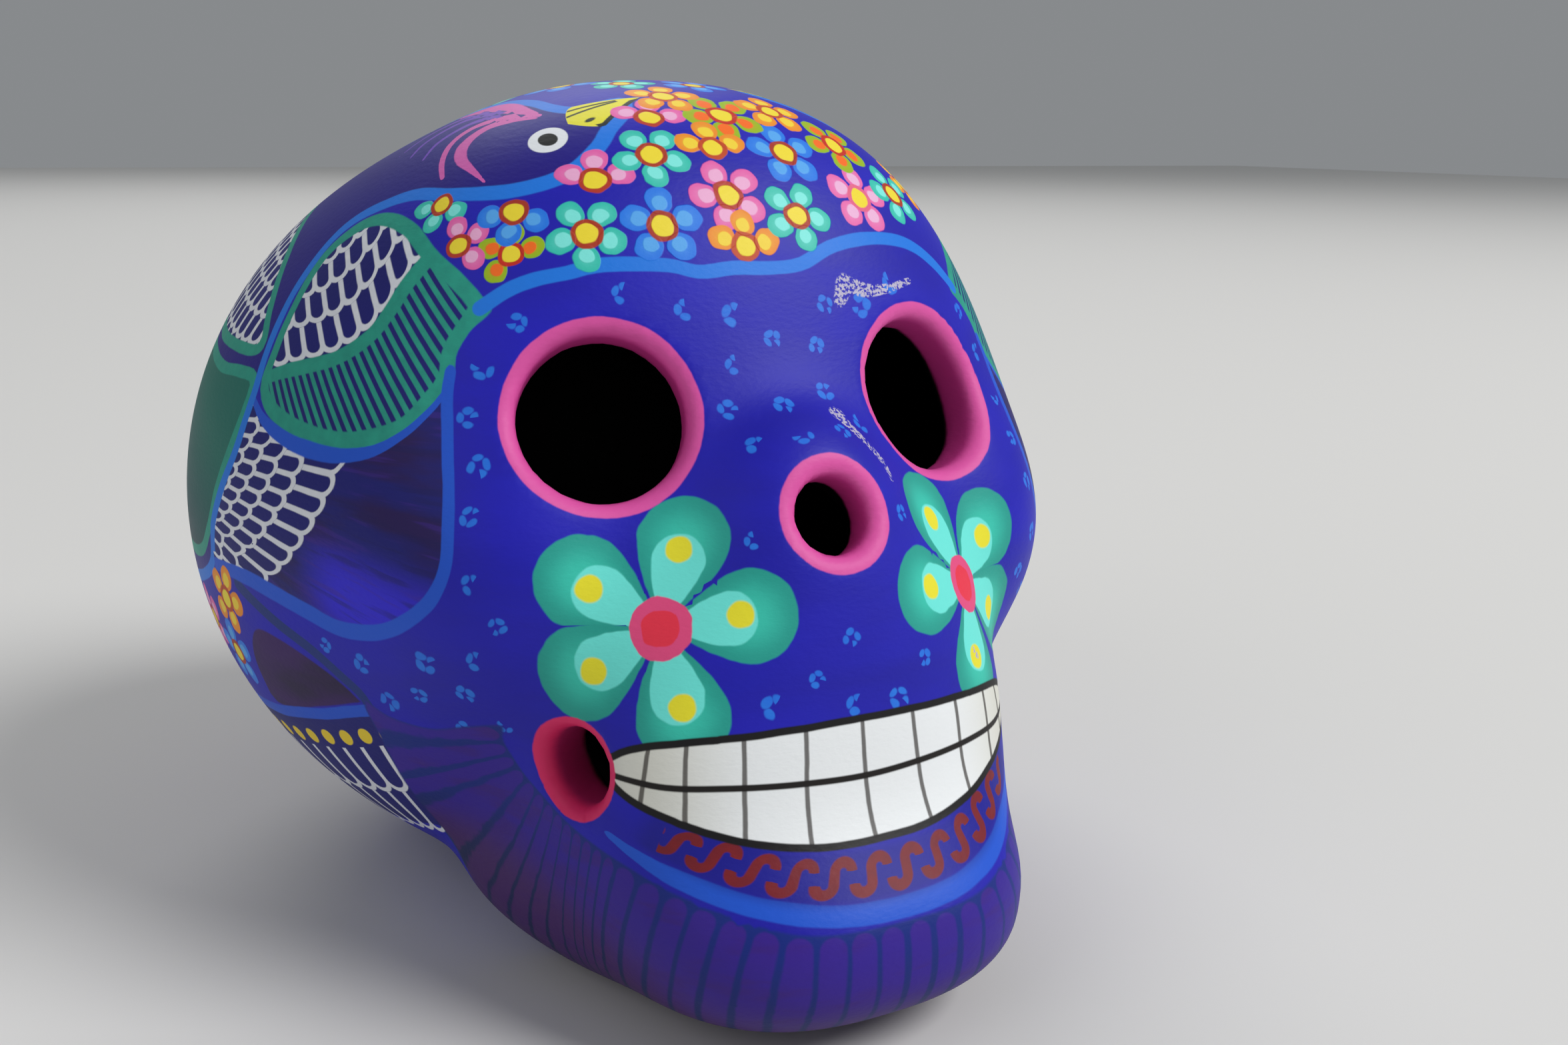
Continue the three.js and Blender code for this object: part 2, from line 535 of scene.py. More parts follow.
HEAD_FRONT = [(-45, 76), (-46, 72), (-46.5, 69), (-50, 65), (-56, 62), (-64, 59.5), (-75, 57.5),
              (-86, 56), (-93, 53.5), (-99, 50)]
LEFT_HEAD_FRONT = [(-72, 79), (-73, 74), (-75, 70), (-79, 66), (-85, 63), (-90, 60), (-95, 57),
                   (-99, 53)]
BODY_FRONT = [(-101.5, 46), (-101.5, 40), (-100.5, 35), (-99.5, 31), (-98.5, 27), (-98.5, 23),
              (-99, 19), (-101, 14), (-103, 9), (-104, 4)]
BACK = [(-109, 1), (-118, -1), (-130, -1), (-141, 4), (-146, 13), (-146, 22), (-150, 29),
        (-152, 36), (-148, 43), (-141, 48), (-135, 53), (-131, 58), (-125, 64)]
BIRD = HEAD_FRONT + BODY_FRONT + BACK + [(-116, 69), (-104, 72), (-90, 73.5), (-76, 73.5),
                                         (-66, 74), (-58, 76.5), (-51, 78.5)]
LEFT_BIRD = LEFT_HEAD_FRONT + BODY_FRONT + BACK + [(-120, 69), (-112, 73), (-102, 76), (-90, 78.5),
                                                   (-80, 81)]
BIRD_HALVES = [1.2, 1.2, 1.0, 0.9, 0.9, 0.9, 0.9, 0.9, 0.9, 0.9, 0.9, 1.0, 1.2]
CHIN_LINE = [(-33, -19), (-29, -20), (-24, -20.8), (-16, -21.2), (-8, -21.5), (0, -21.7),
             (8, -21.5), (16, -21.2), (24, -20.8), (29, -20), (33, -19)]
JAW_REAR = [(-97, 3), (-89, 0), (-82, -2.5), (-77, -5.5), (-73.5, -9), (-73.5, -16), (-74.5, -26),
            (-73.5, -34), (-68, -40), (-60, -43)]
EVEN = [1.0]

brushed("blue_lines", [
    (BAND, EVEN, 0.1, False, ""),
    (UNDER_WING, [0.5, 1.0, 1.2, 1.0, 0.6, 0.4], 0.3, False, "both"),
    (CHIN_LINE, [0.4, 1.1, 1.3, 1.4, 1.4, 1.4, 1.3, 1.1, 0.4], 0.3, False, ""),
    (JAW_REAR, [0.9], 0.6, False, "both"),
])
brushed("blue_edges", [
    (FACE_SIDE, [0.8, 0.85, 0.9, 1.1, 1.25, 1.2, 1.0], 0.3, False, "both"),
    (BIRD, BIRD_HALVES, 0.1, True, "right"),
    (LEFT_BIRD, BIRD_HALVES, 0.1, True, "left"),
])
BACK_WING = [(-102, 31.5), (-105, 35), (-109, 38), (-115, 41), (-124, 43), (-134, 43), (-142, 40),
             (-146, 35), (-142, 30), (-132, 28), (-120, 28), (-109, 29.5)]
LEAF = [(-100, 28), (-105, 27.5), (-112, 26), (-122, 25.5), (-134, 25), (-141, 20), (-140, 12),
        (-132, 5), (-120, 3), (-109, 4), (-104.5, 8), (-102.5, 13), (-100.5, 19), (-99.5, 24)]
brushed("teal_lines", [
    (WING, [1.1, 1.15, 1.15, 1.0, 0.9, 1.1, 1.2, 1.2, 1.1, 1.1], 0, True, "both"),
    (LEAF, [0.9], 0, True, "both"),
])
brushed("teal_edges", [
    (WING_DIVIDER, [1.0, 1.1, 1.1, 1.2, 1.3], 0, False, "both"),
    (FACE_TOP, [1.5, 0.8, 0.8, 0.7], 0, False, "both"),
    (BACK_WING, [0.9], 0, True, "both"),
])

# The birds
# A long-necked bird lies along each side of the head, with its wing folded and its tail spread
# below. Its feathers are white loops on navy, and its plume is pink.

LOBE = [(-61, 36), (-60.5, 35), (-59, 31), (-57.5, 27), (-56, 23), (-55, 19), (-54.5, 14),
        (-56, 10), (-59, 7), (-64, 4), (-69, 2.5), (-75, 2), (-81, 3), (-88, 4), (-95, 4.5),
        (-103, 4), (-103, 9), (-101, 14), (-99, 19), (-98.5, 23), (-98, 26), (-94, 24.5),
        (-88, 23.7), (-82, 23.7), (-76, 24.3), (-70, 26), (-65.5, 29), (-62.5, 32.5)]
SHOULDER = WING_DIVIDER + [(-80, 52), (-89, 52), (-95, 50), (-99, 46), (-99.5, 42), (-98.5, 37),
                           (-97.5, 32)]
keep("patches", [right_or_left(BIRD, LEFT_BIRD), patch(WING), patch(LOBE)])
keep("feathered", [patch(SHOULDER), patch(BACK_WING), patch(LEAF)])

FEATHER_WIDTH = 3.2
FEATHER_LINE = 0.45
QUILL_GAP = 1.45


def flat_frame(centre, towards):
    """A flat frame that touches the skin: its middle, and its first and second ways."""
    middle, aim = on_skin([centre, towards])
    normal = outward_at(middle[None])[0]
    first = aim - middle - normal * ((aim - middle) @ normal)
    first /= np.linalg.norm(first)
    return middle, first, np.cross(normal, first)


def flat_places(points, frame):
    middle, first, second = frame
    return (points - middle) @ first, (points - middle) @ second


def fan_places(points, middle, towards, reach):
    """Places in a fan: how far round it, in millimetres at its middle, and how far out of it."""
    out, aside = flat_places(points, flat_frame(middle, towards))
    return np.arctan2(aside, out + reach) * reach, np.hypot(aside, out + reach) - reach


def feathers(fan, tips, inset, width, row_ends):
    """Each vertex's place in rows of feathers, counted in from the tips, and each face's row height."""
    round_fan, out = fan_places(folded, *fan)
    tip_round, tip_out = fan_places(smooth_line(tips), *fan)
    order = np.argsort(tip_round)
    inwards = np.interp(round_fan, tip_round[order], tip_out[order]) - out - inset
    row = np.interp(inwards, row_ends, np.arange(len(row_ends))) + np.minimum(inwards, 0) / row_ends[1]
    heights = np.diff(row_ends)
    face_row = np.clip(on_faces(row), 0, len(heights) - 1).astype(int)
    return round_fan / width, row, heights[face_row]


TAIL_TIPS = [(-73, 26), (-75, 23), (-76, 20), (-77.5, 17), (-79.5, 14), (-82, 11), (-85, 8),
             (-89, 5.5)]
BACK_WING_TIPS = [(-102, 30.5), (-112, 29), (-124, 28.5), (-136, 29.5), (-146, 34)]
TAIL_FAN = ((-84.5, 16), (-76.6, 15.8), 68)
# The patch, its fan (middle, a point farther out, reach), the tips, their inset, width, ends of rows
FEATHER_GROUPS = [
    (SHOULDER, ((-88.8, 40.9), (-82.7, 37.2), 400), WING_DIVIDER, 1.0, 3.45, [0, 6, 11.5, 16.5, 21, 25]),
    (BACK_WING, ((-124, 36), (-124, 29), 400), BACK_WING_TIPS, 0.8, 3.3, [0, 4.6, 8.8, 12.6, 16, 19]),
    (LOBE, TAIL_FAN, TAIL_TIPS, 0, 2.85, [0, 7.8, 13, 17.8, 22.2, 26.4, 30]),
]
group = np.argmin([on_faces(patch(field)) for field, *_ in FEATHER_GROUPS], axis=0)
columns, rows, heights = zip(*[feathers(*made) for _, *made in FEATHER_GROUPS])
keep("feathers", [
    np.stack(columns)[group[corner_face], corner_vertex],
    np.stack(rows)[group[corner_face], corner_vertex],
    np.stack(heights)[group, np.arange(face_count)][corner_face],
])
turn, rise = directions_of(folded).T
quill_round, _ = fan_places(folded, (-73.5, 32.5), (-69.4, 29.5), 200)
keep("quills", [quill_round / QUILL_GAP, turn, rise])
keep("tail_fan", list(fan_places(folded, *TAIL_FAN)))

right_head = flat_places(folded, flat_frame((-62, 68), (-52, 76)))
left_head = flat_places(folded, flat_frame((-90, 70), (-84, 79)))
keep("head", [np.where(on_right, a, b) for a, b in zip(right_head, left_head)])
brushed("plume", [
    ([(-75, 71), (-83, 69.5), (-88, 67), (-87, 64), (-82, 62), (-75, 61), (-69, 60)],
     [0.5, 1.0, 0.9, 1.1, 0.9, 0.5, 0.15], 0.1, False, "right"),
    ([(-75, 71.5), (-88, 69.5), (-94, 66.5), (-93, 63.5), (-88, 61), (-82, 59)],
     [0.5, 1.0, 0.7, 0.6, 0.5, 0.4], 0.1, False, "right"),
    ([(-75, 71.5), (-88, 71.5), (-103, 70.5), (-118, 66)], [0.4, 1.5, 1.6, 0.4], 0.1, False, "right"),
    ([(-86, 70.5), (-98, 67.5), (-100, 63), (-96, 60)], [0.6, 0.7, 0.5, 0.2], 0.6, False, "right"),
    ([(-90, 70.5), (-106, 67), (-108, 62), (-103, 59)], [0.6, 0.8, 0.6, 0.2], 0.6, False, "right"),
    ([(-94, 70.5), (-112, 66.5), (-116, 62), (-112, 58)], [0.6, 0.8, 0.6, 0.2], 0.6, False, "right"),
    ([(-100, 73), (-108, 70), (-112, 66), (-108, 62), (-101, 60)],
     [0.5, 1.0, 1.0, 0.8, 0.15], 0.1, False, "left"),
    ([(-101, 73.5), (-113, 70.5), (-119, 66), (-116, 61), (-110, 58)],
     [0.5, 0.9, 0.8, 0.6, 0.2], 0.1, False, "left"),
])

bird, wing, lobe = stored("patches")
shoulder, back_wing, leaf = stored("feathered")
colour = over(colour, inside(bird, 0, 0.4), over(srgb(24, 20, 140), passes, srgb(34, 16, 120)))
navy = over(srgb(16, 20, 100), passes, srgb(22, 22, 125))
colour = over(colour, inside(wing.least(back_wing), 0), navy)
quill, turn_round, rise_up = stored("quills")
# The leaf's teal is painted lighter towards its top and front and darker towards its bottom and back:
# painted shade.
leaf_painted_shade = ((rise_up - 6) * 0.05 + (turn_round + 125) * 0.02).most(0).least(1)
leaf_paint = over(srgb(14, 58, 78), leaf_painted_shade, srgb(22, 112, 100))
colour = over(colour, inside(leaf, 0), leaf_paint)



def grain(across, along, detail=3.0):
    """Noise from 0 to 1 over two lengths."""
    place = Shade.node("ShaderNodeCombineXYZ", None, {0: across, 1: along})
    return Shade.node("ShaderNodeTexNoise", None, {"Vector": place, "Scale": 1.0, "Detail": detail})


round_tail, out_of_tail, _ = stored("tail_fan")
strokes = grain(round_tail * 0.8, out_of_tail * 0.05)
broad_strokes = grain(round_tail * 0.25 + 7, out_of_tail * 0.04)
lobe_paint = over(srgb(22, 24, 118), inside(broad_strokes, 0.48, 0.1), srgb(38, 18, 88))
bright_part = inside(abs(round_tail + 7.5), 4.5, 3) * inside(12 - out_of_tail, 5, 6)
lobe_paint = over(lobe_paint, bright_part, srgb(46, 34, 216))
lobe_paint = over(lobe_paint, inside(strokes, 0.42, 0.05) * 0.45, srgb(20, 16, 88))
lobe_paint = over(lobe_paint, inside(1 - strokes, 0.4, 0.05) * 0.4, srgb(66, 36, 150))
colour = over(colour, inside(lobe, 0), lobe_paint)


def feather_masks():
    """White loops like roof tiles, what is inside them, and the row from the tips."""
    column, row, height = stored("feathers")
    column = column + wobble * 0.1
    row = row + wobble * 0.06
    step = row.whole()
    across = ((column + step * 0.5).fraction() - 0.5) * FEATHER_WIDTH
    half = FEATHER_WIDTH / 2
    up = (row - step) * height - half - FEATHER_LINE
    ring = length(across, up.least(0)) - half
    inner = inside(ring, 0).most(inside(0.6 - row, 0, 0.05))
    return inside(abs(ring), FEATHER_LINE + wobble * 0.15), inner, row


loops, loop_inner, row = feather_masks()
in_tail = inside(lobe, -0.4) * inside(-row, 0, 0.02)
feathered = inside(shoulder.least(back_wing), -0.4).most(in_tail)
colour = over(colour, in_tail * loop_inner, navy)
white = over(srgb(240, 241, 244), shimmer, srgb(216, 220, 232))
colour = over(colour, feathered * loops, white)
quills = inside(abs((quill + wobble * 0.12).fraction() - 0.5), 0.26, 0.06)
teal = over(srgb(30, 140, 125), shimmer, srgb(42, 170, 145))
colour = over(colour, inside(wing, 0) * (1 - inside(shoulder, 0)) * quills, teal)

for name in ("teal_lines", "teal_edges"):
    mask, _ = line_mask(name)
    colour = over(colour, mask, teal)
for name in ("blue_lines", "blue_edges"):
    mask, tone = line_mask(name)
    # Lines of tone 0.3, lower on the head, get a darker copy of the light blue: painted shade. The jaw's
    # rear line is its own dark blue.
    stops = [(0, srgb(28, 122, 228)), (0.2, srgb(28, 88, 212)), (0.5, srgb(20, 48, 125))]
    blue = Shade.node("ShaderNodeValToRGB", {"stops": stops}, {0: tone})
    colour = over(colour, mask, blue)

mask, tone = line_mask("plume")
stops = [(0, srgb(214, 96, 178)), (0.5, srgb(112, 66, 190))]
colour = over(colour, mask, Shade.node("ShaderNodeValToRGB", {"stops": stops}, {0: tone}))
ahead, aside, _ = stored("head")
eye_gap = length(ahead + wobble * 0.2, aside + wobble * 0.2)
colour = over(colour, inside(eye_gap, 2.75), srgb(232, 236, 240))
colour = over(colour, inside(length(ahead * 1.15, aside), 1.5), srgb(28, 32, 30))
beak_side = aside - 0.7
beak_half = 3.6 - (ahead - 7.6) * (ahead - 7.6) * inside(ahead, 7.6, 0.1) * 0.3
beak_half = beak_half - (ahead - 7.6).most(0) * 0.42
beak = abs(beak_side) - beak_half
colour = over(colour, inside(beak, 0.1), srgb(232, 224, 50))
beak_marks = abs(beak_side - 1.1 + (ahead - 9) * 0.12).least(abs(beak_side - 2.4 + (ahead - 8) * 0.3)) - 0.22
beak_marks = beak_marks.most(4.6 - ahead).most(ahead - 13)
beak_marks = beak_marks.least(length((ahead - 6.8) * 0.5, beak_side + 1.4) - 0.42)
colour = over(colour, inside(beak_marks, 0) * inside(beak, 0), srgb(30, 40, 20))
beak_edge = abs(beak + 0.1).most(beak_side + 0.6).most(7 - ahead) - 0.4
colour = over(colour, inside(beak_edge, 0), srgb(20, 28, 20))

# The crown of flowers
# Five-petalled flowers are dabbed with a round brush over the whole top and down the back: one dab
# a petal, a paler touch in each, then a red-brown ring and a yellow centre.

TURQUOISE, PINK, SKY, ORANGE, LIME, PLAIN_PINK = range(6)
# Degrees round, degrees up, colour, petals, turn of the first petal, size
FLOWERS = [
    (-76, 56, TURQUOISE, 3, 198, 0.85), (-67, 52, PINK, 3, -30, 0.85), (-59, 57.8, SKY, 3, -165, 0.95),
    (-56.5, 53, LIME, 4, 20, 0.85),
    (-43, 58, TURQUOISE, 5, 54, 1.0), (-44, 64.5, PINK, 3, 18, 1.0), (-30, 70, TURQUOISE, 5, 54, 1.0),
    (-26, 61.5, SKY, 5, 90, 1.05), (-33, 76, PINK, 3, 12, 1.0), (-7, 72.5, ORANGE, 3, 18, 1.0),
    (-6, 66.5, PINK, 5, 36, 1.05), (-4, 60.5, ORANGE, 3, 12, 1.0), (7, 78, LIME, 5, 40, 1.1),
    (-28, 82, ORANGE, 5, 10, 1.0), (23, 71, SKY, 5, 18, 1.05), (15, 63.5, TURQUOISE, 5, 60, 1.0),
    (40, 62.5, PLAIN_PINK, 5, 3, 1.05), (50, 69, LIME, 5, 30, 1.05), (42, 77, ORANGE, 5, 0, 1.0),
    (56, 60, TURQUOISE, 5, 20, 1.0),
]
FLOWER_GAP = 9.7


def apart(candidates, taken, gap, jitter, random):
    """Places picked among the candidates, closely packed, but each at least a gap from the others."""
    order = random.uniform(0, jitter, len(candidates))
    near = np.full(len(candidates), 1e3)
    for point in taken:
        near = np.minimum(near, np.linalg.norm(candidates - point, axis=1))
    picked = []
    while (near >= gap).any():
        point = candidates[np.argmin(np.where(near >= gap, near + order, 1e6))]
        picked.append(point)
        near = np.minimum(near, np.linalg.norm(candidates - point, axis=1))
    return np.array(picked)


bird_edge = right_or_left(BIRD, LEFT_BIRD)
band_above = line_places(places, outward, drawn_out(smooth_line(BAND)))[0]
all_turn, all_rise = directions_of(places).T
border_rise = np.interp(np.abs(all_turn), [72, 84, 97, 110], [-10.2, -13.3, -15.6, -16.5])
high_front = (all_rise > 50) & (np.abs(all_turn) < 100) & (band_above > 5.0)
down_back = (np.abs(all_turn) > 100) & (all_rise > border_rise + 4.5)
on_outside = skin(places) > -0.3
open_crown = on_outside & (high_front | down_back) & (bird_edge > 5.2) & (patch(WING) > 6)
hand_placed = on_skin([flower[:2] for flower in FLOWERS])
random = np.random.default_rng(5)
strewn = apart(places[open_crown], hand_placed, FLOWER_GAP, 0.8, random)
flower_at = np.concatenate([hand_placed, strewn])
flower_kind = [flower[2] for flower in FLOWERS]
for point in flower_at[len(FLOWERS):]:
    gaps = np.linalg.norm(flower_at[:len(flower_kind)] - point, axis=1)
    near_kinds = {flower_kind[i] for i in np.argsort(gaps)[:3]}
    choices = [kind for kind in (TURQUOISE, PINK, SKY, ORANGE, LIME) if kind not in near_kinds]
    flower_kind.append(int(random.choice(choices)))
more = len(flower_at) - len(FLOWERS)
flower_petals = [flower[3] for flower in FLOWERS] + [5] * more
flower_turn = [flower[4] for flower in FLOWERS] + list(random.uniform(0, 72, more))
flower_size = [flower[5] for flower in FLOWERS] + list(random.uniform(0.9, 1.05, more))


def stamped(name, middles, turns, sizes, marks, reach):
    """Stores, for each face, where it is on the nearest stamp, in that stamp's own flat frame."""
    normals = outward_at(middles)
    level = np.cross([0, 0, 1], normals)
    level /= np.linalg.norm(level, axis=1)[:, None]
    upright = np.cross(normals, level)
    turns = np.radians(turns)[:, None]
    first = level * np.cos(turns) + upright * np.sin(turns)
    second = np.cross(normals, first)
    sizes = np.array(sizes)
    face_middles = np.stack([on_faces(places[:, axis]) for axis in range(3)], axis=1)
    gaps = ((face_middles[:, None] - middles[None]) ** 2).sum(axis=2) / sizes ** 2
    chosen = gaps.argmin(axis=1)
    far = gaps.min(axis=1) > reach ** 2
    chosen = chosen[corner_face]
    far = far[corner_face]
    arm = places[corner_vertex] - middles[chosen]
    along = (arm * first[chosen]).sum(axis=1) / sizes[chosen]
    across = (arm * second[chosen]).sum(axis=1) / sizes[chosen]
    marks = np.array(marks, float)[chosen]
    keep(name, [np.where(far, 90, along), np.where(far, 90, across), marks])


def in_layers(middles, gap, layers):
    """Sorts stamps into layers, so that those of one layer don't overlap."""
    layer_of = []
    for i, point in enumerate(middles):
        gaps = np.linalg.norm(middles[:i] - point, axis=1)
        full = {layer_of[j] for j in np.flatnonzero(gaps < gap)}
        layer_of.append(next((layer for layer in range(layers) if layer not in full), i % layers))
    return np.array(layer_of)


flower_layer = in_layers(flower_at, 11.8, 3)
for layer in range(3):
    rows = np.flatnonzero(flower_layer == layer)
    marks = [flower_kind[i] + flower_petals[i] / 8 for i in rows]
    turns = [flower_turn[i] for i in rows]
    sizes = [flower_size[i] for i in rows]
    stamped(f"flowers_{layer}", flower_at[rows], turns, sizes, marks, 6.8)

PETALS = [srgb(52, 196, 176), srgb(232, 98, 172), srgb(36, 122, 232), srgb(240, 142, 40),
          srgb(150, 190, 30), srgb(236, 108, 176)]
TOUCHES = [srgb(130, 236, 226), srgb(240, 176, 214), srgb(88, 170, 240), srgb(246, 214, 60),
           srgb(250, 112, 32), srgb(240, 184, 220)]
RINGS = [srgb(176, 58, 34), srgb(184, 56, 38), srgb(170, 54, 36), srgb(196, 72, 30),
         srgb(200, 44, 30), srgb(232, 104, 140)]
CENTRE = srgb(244, 222, 56)
PETAL_OUT = 3.55
PETAL_RADIUS = 1.95


def by_kind(colours, kind):
    stops = [(max(i - 0.5, 0) / 8, paint_colour) for i, paint_colour in enumerate(colours)]
    return Shade.node("ShaderNodeValToRGB", {"stops": stops}, {0: kind / 8})


def folded_petals(along, across, count=5):
    """The place on the nearest of some petals set round a centre, and that petal's number."""
    round_about = across.math("ARCTAN2", along) * (count / (2 * math.pi)) + count
    number = (round_about + 0.5).whole()
    turn = (round_about - number) * (2 * math.pi / count)
    away = length(along, across)
    return away * turn.math("COSINE"), away * turn.math("SINE"), number - count


dab_shift_a = (clouds(0.35, 1) - 0.5) * 0.8
dab_shift_b = (clouds(0.35, 1, (1.3, 1.2, -1.1)) - 0.5) * 0.8


def flower_masks(name):
    along, across, mark = stored(name)
    along = along + dab_shift_a
    across = across + dab_shift_b
    kind = mark.whole()
    kept = (mark - kind) * 8
    out, side, number = folded_petals(along, across)
    number = number + inside(number, -0.5, 0.1) * 5
    shown = inside(number + 0.5, kept, 0.1)
    away = length(along, across)
    petal_gap = length(out - PETAL_OUT, side * 1.06)
    petal = inside(petal_gap, PETAL_RADIUS, 0.12) * shown
    touch = inside(length(out - PETAL_OUT + 0.4, side), 1.05, 0.12) * shown
    return kind, petal, touch, inside(away, 2.15), inside(away, 1.45), petal_gap


flower_height = None
for layer in range(3):
    kind, petal, touch, ring, centre, petal_gap = flower_masks(f"flowers_{layer}")
    petal_colour = over(by_kind(PETALS, kind), inside(petal_gap, 1.1, 0.9) * 0.25, by_kind(TOUCHES, kind))
    colour = over(colour, petal, petal_colour)
    colour = over(colour, touch, by_kind(TOUCHES, kind))
    colour = over(colour, ring, by_kind(RINGS, kind))
    colour = over(colour, centre, CENTRE)
    raised = petal + touch * 0.5 + ring * 0.4 + centre * 0.6
    flower_height = raised if flower_height is None else flower_height.most(raised)

# The border round the back
# Under the birds a dark purple body shows beside the jaw. A blue line, yellow dots and long white
# loops on navy go round the back of the head.

LOW_BODY = [(-74.5, -9.5), (-78, -6.5), (-83, -4.2), (-89, -2.6), (-94, -2.5), (-97, -6), (-98, -11),
            (-97, -14.3), (-84, -12), (-76, -9.8)]
DOT_DEGREES = 5
LOOP_DEGREES = 5
LOOP_TALL = 9
degree = np.linalg.norm(places - HEART, axis=1) * math.pi / 180
keep("border", [(border_rise - all_rise) * degree, np.abs(all_turn), degree * np.cos(np.radians(all_rise))])
keep("low_body", [patch(LOW_BODY)])

low_body, _, _ = stored("low_body")
body_paint = over(srgb(58, 24, 96), inside(passes, 0.48, 0.12), srgb(36, 18, 66))
colour = over(colour, inside(low_body, 0, 0.2), body_paint)
below, turn_round, across_degree = stored("border")
below = below + wobble * 0.5
behind = 1 - inside(turn_round, 72.8, 0.1)
colour = over(colour, inside(abs(below - 11), 11.5) * behind, navy)
dot_across = ((turn_round / DOT_DEGREES).fraction() - 0.5) * across_degree * DOT_DEGREES
dots = inside(length(dot_across, below - 4.3), 1.35)
loop_row = (below - 6.2) / LOOP_TALL
step = loop_row.whole()
loop_across = ((turn_round / LOOP_DEGREES + step * 0.5).fraction() - 0.5) * across_degree * LOOP_DEGREES
loop_half = across_degree * (LOOP_DEGREES / 2)
loop_up = (1 - (loop_row - step)) * LOOP_TALL - loop_half - FEATHER_LINE
hanging = abs(length(loop_across, loop_up.least(0)) - loop_half)
in_loops = inside(abs(loop_row - 1), 1, 0.01)
colour = over(colour, inside(hanging, FEATHER_LINE) * in_loops * behind, white)
colour = over(colour, dots * behind, srgb(238, 208, 52))
colour = over(colour, inside(abs(below), 1.0) * behind, srgb(28, 84, 206))

# The face
# Small clusters of light-blue dabs are spotted over the ultramarine face, and a large turquoise
# flower is painted on each cheekbone.

FACE_FIELD = [(-60, 44), (-54, 48), (-45, 52), (-39, 54), (-25, 56), (-8, 57), (-0.1, 57), (-0.1, -5),
              (-12, -5.5), (-27, -7), (-33, -12), (-40, -20.5), (-46, -17), (-46.5, -11), (-50, -14),
              (-56, -15.5), (-63, -15), (-72, -11), (-77, -5.5), (-82, -2.5), (-89, 0), (-95, 3),
              (-81, 2), (-69, 1), (-61, 4), (-56, 9), (-54, 14), (-55, 19), (-56, 23), (-58, 27),
              (-60, 33), (-61, 40)]
CHEEK_FLOWER = (-26, 7)
PETAL_TIPS = [(-20.5, 25), (-8.5, 9), (-22.5, -6.5), (-41, -3), (-42.5, 16)]
SPOT_GAP = 6.2
RIM_RADIUS = {"eye": 13.2, "nose": 8.0, "cheek": 7.0}

rims = []
for hole, side, name in [(EYE, -1, "eye"), (EYE, 1, "eye"), (NOSE, 1, "nose"), (CHEEK, -1, "cheek"),
                         (CHEEK, 1, "cheek")]:
    away, height = hole_radius(places, hole, side)
    rims.append(np.where(np.abs(height) < 14, away - RIM_RADIUS[name], 90))
rim = np.min(rims, axis=0)
cheek_rim = np.min(rims[3:], axis=0)
depth = -skin(places)
keep("rims", [rim, depth, np.where(cheek_rim < 3, 1.0, 0.0)])

cheek_middle, cheek_first, cheek_second = flat_frame(CHEEK_FLOWER, PETAL_TIPS[0])
cheek_along, cheek_across = flat_places(folded, (cheek_middle, cheek_first, cheek_second))
cheek_reach = np.linalg.norm(folded - cheek_middle, axis=1)
cheek_turn = np.arctan2(cheek_across, cheek_along)
tip_along, tip_across = flat_places(on_skin(PETAL_TIPS), (cheek_middle, cheek_first, cheek_second))
tip_turn = np.arctan2(tip_across, tip_along)
apart_turns = np.abs((cheek_turn[:, None] - tip_turn + math.pi) % (2 * math.pi) - math.pi)
nearest_tip = np.argmin([on_faces(apart_turns[:, i]) for i in range(5)], axis=0)[corner_face]
corner_turn = cheek_turn[corner_vertex] - tip_turn[nearest_tip]
corner_reach = cheek_reach[corner_vertex]
keep("cheek_flower", [
    np.where(corner_reach > 30, 90, corner_reach * np.cos(corner_turn)),
    np.where(corner_reach > 30, 90, corner_reach * np.sin(corner_turn)),
    corner_reach,
])

face_edge = patch(FACE_FIELD)
tip_gap = np.min([np.linalg.norm(folded - tip, axis=1) for tip in on_skin(PETAL_TIPS)], axis=0)
half_way = (on_skin(PETAL_TIPS) + cheek_middle) / 2
petal_gap = np.min([np.linalg.norm(folded - point, axis=1) for point in half_way], axis=0)
clear_of_flower = (cheek_reach > 8) & (tip_gap > 8.5) & (petal_gap > 9)
spotted = on_outside & within(smooth_line(FACE_FIELD, True), folded) & (face_edge < -2.6)
spotted |= on_outside & (np.abs(all_turn) < 4) & (all_rise > -4) & (all_rise < 54)
spotted &= clear_of_flower & (rim > 3)
spot_at = apart(places[spotted], [], SPOT_GAP, 2.5, random)
spot_turns = random.uniform(0, 360, len(spot_at))
stamped("spots", spot_at, spot_turns, random.uniform(0.8, 1.1, len(spot_at)), spot_turns / 360, 3.4)

along, across, seed = stored("spots")
along = along + dab_shift_b * 1.2
across = across + dab_shift_a * 1.2
out, side, number = folded_petals(along, across, 4)
dabs = inside(length((out - 1.0) * 1.05, side * 0.72), 0.56 + wobble * 0.5, 0.12)
dabs = dabs * inside(number, 0.5 + inside(seed, 0.6, 0.01), 0.1)
spot_blue = over(srgb(26, 104, 226), shimmer, srgb(44, 136, 238))
colour = over(colour, dabs * 0.9, spot_blue)

along, across, reach = stored("cheek_flower")
along = along + dab_shift_a * 0.6
across = across + dab_shift_b * 0.6


def teardrop(middle, radius, root):
    """A petal: round at its outer end, and narrowing to its root."""
    short = (middle - along).most(0) / (middle - root)
    narrow = radius * (1 - short.math("POWER", 1.5)).most(0)
    round_end = length((along - middle).most(0), across)
    return (round_end - narrow).most(root - along)


outer_petal = teardrop(11.4, 6.1, 0.5)
